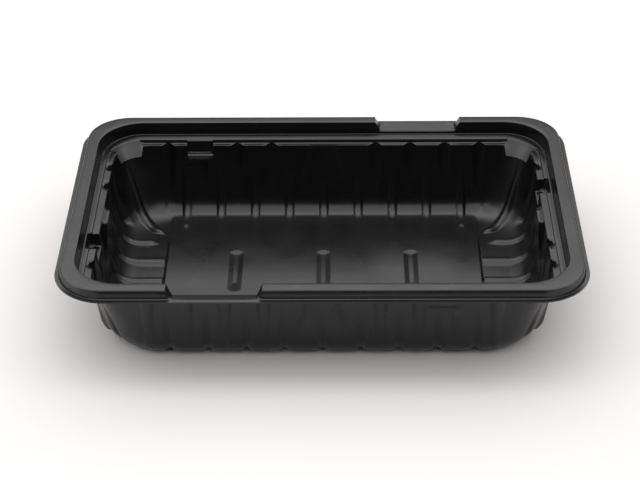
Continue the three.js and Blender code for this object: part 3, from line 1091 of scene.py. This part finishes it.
    def channel_share(self, dx: Array, y: Array) -> Array:
        """0 on the floor of a channel, rising to 1 at its brim.

        Args:
            dx: Distance from the middle line of the channel.
            y: Y of each point.
        Returns:
            Share of the channel's depth that is filled.
        """
        f = self.floor
        low, high = np.zeros_like(y), np.full_like(y, 1.0)
        for _ in range(self.CHANNEL_HALVINGS):
            s = (low + high) / 2
            half = f.channel_low + (f.channel_half - f.channel_low) * s
            back = f.back_y - f.end * (1 - s) - half
            front = f.front_y + f.ramp * (1 - s) + half
            past = np.maximum(np.maximum(y - back, front - y), 0.0)
            inside = np.hypot(dx, past) <= half
            low, high = np.where(inside, low, s), np.where(inside, s, high)
        return high

    def raise_floor(self, skin: Array) -> None:
        """Lifts the floor rows onto the raised panel and sets the pips on it.

        Args:
            skin: Points, changed in place.
        """
        f = self.floor
        x, y, z = skin[..., 0], skin[..., 1], skin[..., 2]
        low = z < self.FLOOR_ZONE_Z
        panel = self.floor_height(x, y)
        lifted = smooth_max(z, panel, f.fillet)
        flat = np.abs(z - self.outline.sheet) < NEAR
        z[:] = np.where(low & ~flat, lifted, np.where(flat, panel, z))
        centre = self.outline.sheet + f.rise - f.pip_radius * f.pip_sunk
        for sx in (1, -1):
            for sy in (1, -1):
                q = np.hypot(x - sx * self.PIP_PITCHES * self.ribs.pitch, y - sy * f.pip_y)
                ball = centre + np.sqrt(np.maximum(f.pip_radius ** 2 - q * q, 0))
                z[:] = np.where((q < f.pip_radius) & low, np.maximum(z, ball), z)

    def grid_lines(self) -> tuple[list[float], list[float]]:
        """Lines of the floor grid, close together at the channels.

        Returns:
            X and Y of the lines, lowest first.
        """
        f = self.floor
        offsets = (0.0, 0.45, 0.95, 1.2, 1.8, 2.4, 2.95, 3.25, 3.6)
        sides = (f.foot_x, f.panel_half, f.panel_half + 0.2, f.panel_half - 0.3, f.foot_x - 0.2,
                 64.0, 56.0, 48.0, 24.0, 16.0, 8.0)
        xs = {s * v for s in (1, -1) for v in sides}
        for k in self.CHANNELS:
            xs |= {round(k * f.channel_spacing + s * d, 4) for s in (1, -1) for d in offsets}
        back = [f.back_y + d for d in (0.5, 0.0, -0.3, -0.65, -1.0, -1.3, -1.7, -2.3, -3.0, -3.8)]
        front = [f.front_y + d for d in (-0.5, 0, 0.4, 0.8, 1.3, 1.9, 2.6, 3.4, 4.4, 5.5, 6.6, 7.3, 8.0,
                                         8.6, 9.6)]
        ys = {f.grid_y, -f.grid_y, 30.0, -30.0, -22.0, -15.0, 4.0, 9.0, 14.0, *back, *front}
        return sorted(xs), sorted(ys)

    # Faces

    def build(self) -> bpy.types.Object:
        """Builds both sides of the sheet as one closed mesh.

        Returns:
            The new object.
        """
        c = self.columns
        rim, wall = self.rim_skin(), self.wall_skin()
        xs, ys = self.grid_lines()
        keep = c.rim_columns()
        points: list[Point] = []
        rim_at = [[self.add(points, rim[r, k]) for k in keep] for r in range(len(rim))]
        wall_at = [[self.add(points, wall[r, k]) for k in range(c.count)] for r in range(len(wall))]
        faces = self.ring_faces(rim_at)
        for j in range(len(keep)):
            k = (j + 1) % len(keep)
            stop = keep[k] if k else keep[0] + c.count
            between = [wall_at[0][i % c.count] for i in range(keep[j], stop + 1)]
            faces.append([rim_at[-1][j], rim_at[-1][k], *reversed(between)])
        faces += self.ring_faces(wall_at)
        gx, gy = np.meshgrid(np.array(xs), np.array(ys), indexing="ij")
        gz = self.floor_height(gx, gy)
        grid_at = [[self.add(points, (gx[i, j], gy[i, j], gz[i, j])) for j in range(len(ys))]
                   for i in range(len(xs))]
        for i in range(len(xs) - 1):
            for j in range(len(ys) - 1):
                faces.append([grid_at[i][j], grid_at[i + 1][j], grid_at[i + 1][j + 1], grid_at[i][j + 1]])
        self.seam(faces, wall_at[-1], grid_at, xs, ys)
        return self.thicken(points, faces, rim_at[0])

    @staticmethod
    def add(points: list[Point], place: Array | Point) -> int:
        """Adds a point and returns its number."""
        points.append(tuple(float(v) for v in place))
        return len(points) - 1

    @staticmethod
    def ring_faces(at: list[list[int]]) -> list[list[int]]:
        """Faces of rows that close round the tray.

        Args:
            at: Numbers of the points, by row and column.
        Returns:
            The faces.
        """
        n = len(at[0])
        return [[upper[j], upper[(j + 1) % n], lower[(j + 1) % n], lower[j]]
                for upper, lower in zip(at[:-1], at[1:]) for j in range(n)]

    def seam(self, faces: list[list[int]], ring: list[int], grid: list[list[int]], xs: list[float],
             ys: list[float]) -> None:
        """Joins the last row of the wall to the floor grid, a face between each two shared lines.

        Args:
            faces: Faces, added to in place.
            ring: Points of the last row.
            grid: Points of the floor grid, by x and y.
            xs: X of the grid's lines.
            ys: Y of the grid's lines.
        """
        c, f = self.columns, self.floor
        nx, ny = len(xs), len(ys)
        in_x = c.long & (np.abs(c.value) <= f.foot_x + NEAR)
        in_y = c.end & (np.abs(c.value) <= f.grid_y + NEAR)
        sides = [
            (in_y & (c.sx > 0), [(ys[j], grid[nx - 1][j]) for j in range(ny)]),
            (in_x & (c.sy > 0), [(xs[i], grid[i][ny - 1]) for i in reversed(range(nx))]),
            (in_y & (c.sx < 0), [(ys[j], grid[0][j]) for j in reversed(range(ny))]),
            (in_x & (c.sy < 0), [(xs[i], grid[i][0]) for i in range(nx)]),
        ]
        apex = [grid[nx - 1][ny - 1], grid[0][ny - 1], grid[0][0], grid[nx - 1][0]]
        columns = [[int(i) for i in np.flatnonzero(mask)] for mask, _ in sides]
        for q, (_, inner) in enumerate(sides):
            self.strip(faces, ring, columns[q], inner)
            first, following = columns[q][-1], columns[(q + 1) % 4][0]
            stop = following if following > first else following + c.count
            for i in range(first, stop):
                faces.append([ring[i % c.count], ring[(i + 1) % c.count], apex[q]])

    def strip(self, faces: list[list[int]], ring: list[int], cols: list[int],
              inner: list[tuple[float, int]]) -> None:
        """Faces between the columns of one side and the grid points that face them.

        Args:
            faces: Faces, added to in place.
            ring: Points of the last row.
            cols: Columns of the side.
            inner: Place and number of each grid point.
        """
        value = self.columns.value
        marks = [v for v, _ in inner if any(abs(value[i] - v) < SAME_LINE for i in cols)]
        for m, k in zip(marks[:-1], marks[1:]):
            lo, hi = min(m, k) - SAME_LINE, max(m, k) + SAME_LINE
            outer = [ring[i] for i in cols if lo <= value[i] <= hi]
            near = [p for v, p in inner if lo <= v <= hi]
            faces.append(outer + near[::-1])

    def soften(self, under: Array, at: Array, faces: list[list[int]]) -> None:
        """Rounds the lower side at pads, pockets and end panels.

        Args:
            under: Points of the lower side, changed in place.
            at: Points of the upper side.
            faces: Faces that join them.
        """
        x, y, z = at.T
        p, s = self.pockets, self.soft
        reach = p.half + s.pocket_margin
        corner = (np.abs(x) > s.corner_x) & (np.abs(y) > s.corner_y)
        long_side = np.abs(y) > self.outline.width / 2 - s.long_depth
        end_side = np.abs(x) > self.outline.length / 2 - s.end_depth
        at_pocket = np.abs(y - np.sign(x) * p.end_y) < reach
        at_panel = np.abs(y) < self.panel.halves[0] + s.panel_margin
        near = corner | (long_side & (np.abs(x - np.where(y > 0, p.back_x, p.front_x)) < reach))
        near |= end_side & (at_pocket | at_panel)
        free = near & (z > s.low_z) & (z < s.high_z)
        links = np.array([(f[i], f[i - 1]) for f in faces for i in range(len(f))])
        links = links[free[links[:, 0]] | free[links[:, 1]]]
        links = np.vstack([links, links[:, ::-1]])
        count = np.bincount(links[:, 0], minlength=len(at))[:, None]
        for _ in range(s.rounds):
            total = np.zeros_like(under)
            np.add.at(total, links[:, 0], under[links[:, 1]])
            under[free] = (under[free] + total[free] / count[free]) / 2

    def thicken(self, points: list[Point], faces: list[list[int]], edge: list[int]) -> bpy.types.Object:
        """Adds the lower side one sheet below the upper one and closes the trimmed edge.

        Args:
            points: Points of the upper side in millimetres.
            faces: Its faces.
            edge: Its points along the trimmed edge.
        Returns:
            The object.
        """
        upper = bpy.data.meshes.new("upper")
        upper.from_pydata(points, [], faces)
        upper.update()
        normals = np.empty(len(points) * 3)
        upper.vertex_normals.foreach_get("vector", normals)
        normals = normals.reshape(-1, 3)
        bpy.data.meshes.remove(upper)
        at = np.array(points)
        if normals[edge[0], 2] < 0:
            faces = [f[::-1] for f in faces]
            normals = -normals
        normals[edge] = (0, 0, 1)
        under = at - normals * self.outline.sheet
        self.soften(under, at, faces)
        under[:, 2] = np.maximum(under[:, 2], 0.0)
        for axis, size in enumerate((self.outline.length, self.outline.width)):
            under[:, axis] = np.clip(under[:, axis], -size / 2, size / 2)
        n = len(points)
        every = faces + [[i + n for i in reversed(f)] for f in faces]
        for a, b in zip(edge, edge[1:] + edge[:1]):
            every.append([a, a + n, b + n, b])
        mesh = bpy.data.meshes.new("tray_sheet")
        mesh.from_pydata((np.vstack([at, under]) * MM).tolist(), [], every)
        mesh.validate()
        mesh.update()
        mesh.set_sharp_from_angle(angle=SHARP)
        obj = bpy.data.objects.new("tray_sheet", mesh)
        bpy.context.scene.collection.objects.link(obj)
        return obj

    @staticmethod
    def dress(sheet: bpy.types.Object) -> None:
        """Gives the sheet its plastic."""
        sheet.data.materials.append(BlackPolypropylene().make())


# Materials


def linear(hex_colour: str) -> tuple[float, float, float, float]:
    """sRGB hex colour as the linear colour that the shader takes.

    Args:
        hex_colour: Six hex digits after a hash sign.
    Returns:
        Red, green, blue and an alpha of 1.
    """
    parts = [int(hex_colour[i:i + 2], 16) / 255 for i in (1, 3, 5)]
    return (*(v / 12.92 if v <= 0.04045 else ((v + 0.055) / 1.055) ** 2.4 for v in parts), 1.0)


def node(tree: bpy.types.NodeTree, kind: str, links: dict[str | int, bpy.types.NodeSocket] | None = None,
         inputs: dict[str | int, object] | None = None, **settings: object) -> bpy.types.Node:
    """Adds a node with its settings, socket values and links.

    Args:
        tree: Node tree that gets the node.
        kind: Blender's name of the node type.
        links: Input name or number to the output socket that feeds it.
        inputs: Input name or number to its value.
        **settings: Properties of the node.
    Returns:
        The node.
    """
    made = tree.nodes.new(kind)
    for name, value in settings.items():
        setattr(made, name, value)
    for name, value in (inputs or {}).items():
        made.inputs[name].default_value = value
    for name, socket in (links or {}).items():
        tree.links.new(socket, made.inputs[name])
    return made


def blank(name: str) -> bpy.types.Material:
    """New material with an empty node tree.

    Args:
        name: Name of the material.
    Returns:
        The material.
    """
    made = bpy.data.materials.new(name)
    made.use_nodes = True
    made.node_tree.nodes.clear()
    return made


@dataclass(frozen=True)
class BlackPolypropylene:
    """Carbon-black polypropylene sheet, vacuum formed over a satin mould.

    To the eye: near black in itself, so that all its form shows in soft, broad reflections. The
    mould's blasted surface leaves a fine grain that takes the edge off them, and the stretch of the
    sheet makes the gloss wander a little from place to place.
    """

    colour: str = "#09090a"
    roughness: float = 0.28
    ior: float = 1.49
    cloud_mm: float = 14.0  # patches of more and less stretched sheet
    duller: float = 0.05
    glossier: float = 0.03
    grain_mm: float = 0.9  # the real grain of about 0.1 mm is too fine to show, so it is drawn coarser
    grain_height_mm: float = 0.012
    grain_strength: float = 0.25

    def make(self) -> bpy.types.Material:
        """Satin gloss that wanders a little, under the fine grain that the mould leaves.

        Returns:
            The material.
        """
        made = blank("black_polypropylene_vacuum_formed")
        tree = made.node_tree
        place = node(tree, "ShaderNodeTexCoord").outputs["Object"]
        shader = node(tree, "ShaderNodeBsdfPrincipled", inputs={
            "Base Color": linear(self.colour), "Roughness": self.roughness, "IOR": self.ior})
        grain = node(tree, "ShaderNodeTexNoise", {"Vector": place},
                     {"Scale": 1 / (self.grain_mm * MM), "Detail": 2.0, "Roughness": 0.5})
        cloud = node(tree, "ShaderNodeTexNoise", {"Vector": place},
                     {"Scale": 1 / (self.cloud_mm * MM), "Detail": 2.0})
        gloss = node(tree, "ShaderNodeMapRange", {"Value": cloud.outputs["Fac"]},
                     {"From Min": 0.3, "From Max": 0.7, "To Min": self.roughness - self.glossier,
                      "To Max": self.roughness + self.duller})
        tree.links.new(gloss.outputs["Result"], shader.inputs["Roughness"])
        bump = node(tree, "ShaderNodeBump", {"Height": grain.outputs["Fac"]},
                    {"Strength": self.grain_strength, "Distance": self.grain_height_mm * MM})
        tree.links.new(bump.outputs["Normal"], shader.inputs["Normal"])
        node(tree, "ShaderNodeOutputMaterial", {"Surface": shader.outputs["BSDF"]})
        return made


@dataclass(frozen=True)
class PaperBackdrop:
    """Uncoated white paper, rolled out flat.

    To the eye: matte and even, with a tone that drifts very faintly and a tooth of fibres that
    only the low light finds.
    """

    colour: str = "#d2cfce"
    shade: str = "#d0cdcc"
    roughness: float = 0.9
    specular: float = 0.2
    cloud_mm: float = 60.0
    fibre_mm: float = 0.6  # real fibres are finer than the render can show, so they are drawn coarser
    fibre_height_mm: float = 0.02
    fibre_strength: float = 0.15

    def make(self) -> bpy.types.Material:
        """Matte paper with a very faint unevenness.

        Returns:
            The material.
        """
        made = blank("uncoated_paper_rolled_flat")
        tree = made.node_tree
        place = node(tree, "ShaderNodeTexCoord").outputs["Object"]
        cloud = node(tree, "ShaderNodeTexNoise", {"Vector": place},
                     {"Scale": 1 / (self.cloud_mm * MM), "Detail": 3.0})
        tone = node(tree, "ShaderNodeMix", {"Factor": cloud.outputs["Fac"]},
                    {6: linear(self.colour), 7: linear(self.shade)}, data_type="RGBA")
        fibre = node(tree, "ShaderNodeTexNoise", {"Vector": place},
                     {"Scale": 1 / (self.fibre_mm * MM), "Detail": 1.0})
        bump = node(tree, "ShaderNodeBump", {"Height": fibre.outputs["Fac"]},
                    {"Strength": self.fibre_strength, "Distance": self.fibre_height_mm * MM})
        shader = node(tree, "ShaderNodeBsdfPrincipled",
                      {"Base Color": tone.outputs[2], "Normal": bump.outputs["Normal"]},
                      {"Roughness": self.roughness, "Specular IOR Level": self.specular})
        node(tree, "ShaderNodeOutputMaterial", {"Surface": shader.outputs["BSDF"]})
        return made


# Studio, in metres and watts


@dataclass(frozen=True)
class Camera:
    """The photograph's camera, fitted to the rim, seat, floor and ribs."""

    lens: float = 107.436
    sensor: float = 36.0
    clip_start: float = 0.05
    place: Point = (0.0073125, -0.706187, 0.474920)
    right: Point = (0.99994138, 0.00769153, -0.00762147)
    up: Point = (0.00226984, 0.53932931, 0.84209188)
    shift: tuple[float, float] = (0.0010, -0.0008)

    def make(self) -> bpy.types.Object:
        """Adds the camera and makes it the scene's.

        Returns:
            The camera.
        """
        data = bpy.data.cameras.new("camera")
        data.lens, data.sensor_width, data.clip_start = self.lens, self.sensor, self.clip_start
        data.shift_x, data.shift_y = self.shift
        obj = bpy.data.objects.new("camera", data)
        right, up = Vector(self.right), Vector(self.up)
        turn = Matrix((right, up, right.cross(up))).transposed().to_4x4()
        turn.translation = Vector(self.place)
        obj.matrix_world = turn
        bpy.context.scene.collection.objects.link(obj)
        bpy.context.scene.camera = obj
        return obj


@dataclass(frozen=True)
class Softbox:
    """Rectangular area light, aimed at the middle of the tray's base."""

    AIM = Vector((0.0, 0.0, 0.0))

    name: str
    place: Point
    size: tuple[float, float]
    power: float

    def make(self) -> bpy.types.Object:
        """Adds the light.

        Returns:
            The light.
        """
        data = bpy.data.lights.new(self.name, "AREA")
        data.shape = "RECTANGLE"
        data.size, data.size_y = self.size
        data.energy = self.power
        obj = bpy.data.objects.new(self.name, data)
        obj.location = self.place
        ahead = self.AIM - Vector(self.place)
        obj.rotation_euler = ahead.to_track_quat("-Z", "Y").to_euler()
        bpy.context.scene.collection.objects.link(obj)
        return obj


@dataclass(frozen=True)
class Studio:
    """Pale paper floor, an arch of soft boxes from back to front, one at each side, a faint even glow."""

    floor_size: float = 8.0
    glow: float = 0.02
    boxes: tuple[Softbox, ...] = (
        Softbox("backdrop", (0.0, 1.4095, 0.513), (2.4, 0.638), 1.35),
        Softbox("back_low", (0.0, 1.0607, 1.0607), (2.4, 0.693), 12.1),
        Softbox("back_high", (0.0, 0.5376, 1.4004), (3.2, 0.583), 8.7),
        Softbox("overhead", (0.0, 0.0, 1.5), (3.2, 0.529), 16.8),
        Softbox("front_high", (0.0, -0.5376, 1.4004), (3.2, 0.583), 11.5),
        Softbox("front_low", (0.0, -1.0607, 1.0607), (2.4, 0.693), 9.1),
        Softbox("left", (-1.3, 0.0, 0.75), (1.6, 1.0), 6.5),
        Softbox("right", (1.3, 0.0, 0.75), (1.6, 1.0), 3.7),
    )

    def make(self) -> None:
        """Adds floor, world and lights."""
        half = self.floor_size / 2
        mesh = bpy.data.meshes.new("floor")
        corners = [(-half, -half, 0), (half, -half, 0), (half, half, 0), (-half, half, 0)]
        mesh.from_pydata(corners, [], [(0, 1, 2, 3)])
        mesh.materials.append(PaperBackdrop().make())
        floor = bpy.data.objects.new("floor", mesh)
        bpy.context.scene.collection.objects.link(floor)
        world = bpy.data.worlds.new("studio")
        world.use_nodes = True
        tree = world.node_tree
        tree.nodes.clear()
        lit = node(tree, "ShaderNodeBackground", inputs={"Color": (1, 1, 1, 1), "Strength": self.glow})
        node(tree, "ShaderNodeOutputWorld", {"Surface": lit.outputs[0]})
        bpy.context.scene.world = world
        for box in self.boxes:
            box.make()


def main() -> None:
    """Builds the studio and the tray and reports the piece."""
    bpy.context.scene.view_settings.view_transform = "Standard"
    Camera().make()
    Studio().make()
    tray = Tray()
    sheet = tray.build()
    tray.dress(sheet)
    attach(sheet, "root")
    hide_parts("tray")
    triangles = sum(len(p.vertices) - 2 for p in sheet.data.polygons)
    log.info("tray_sheet: %d points, %d triangles", len(sheet.data.vertices), triangles)


if __name__ == "__main__":
    main()
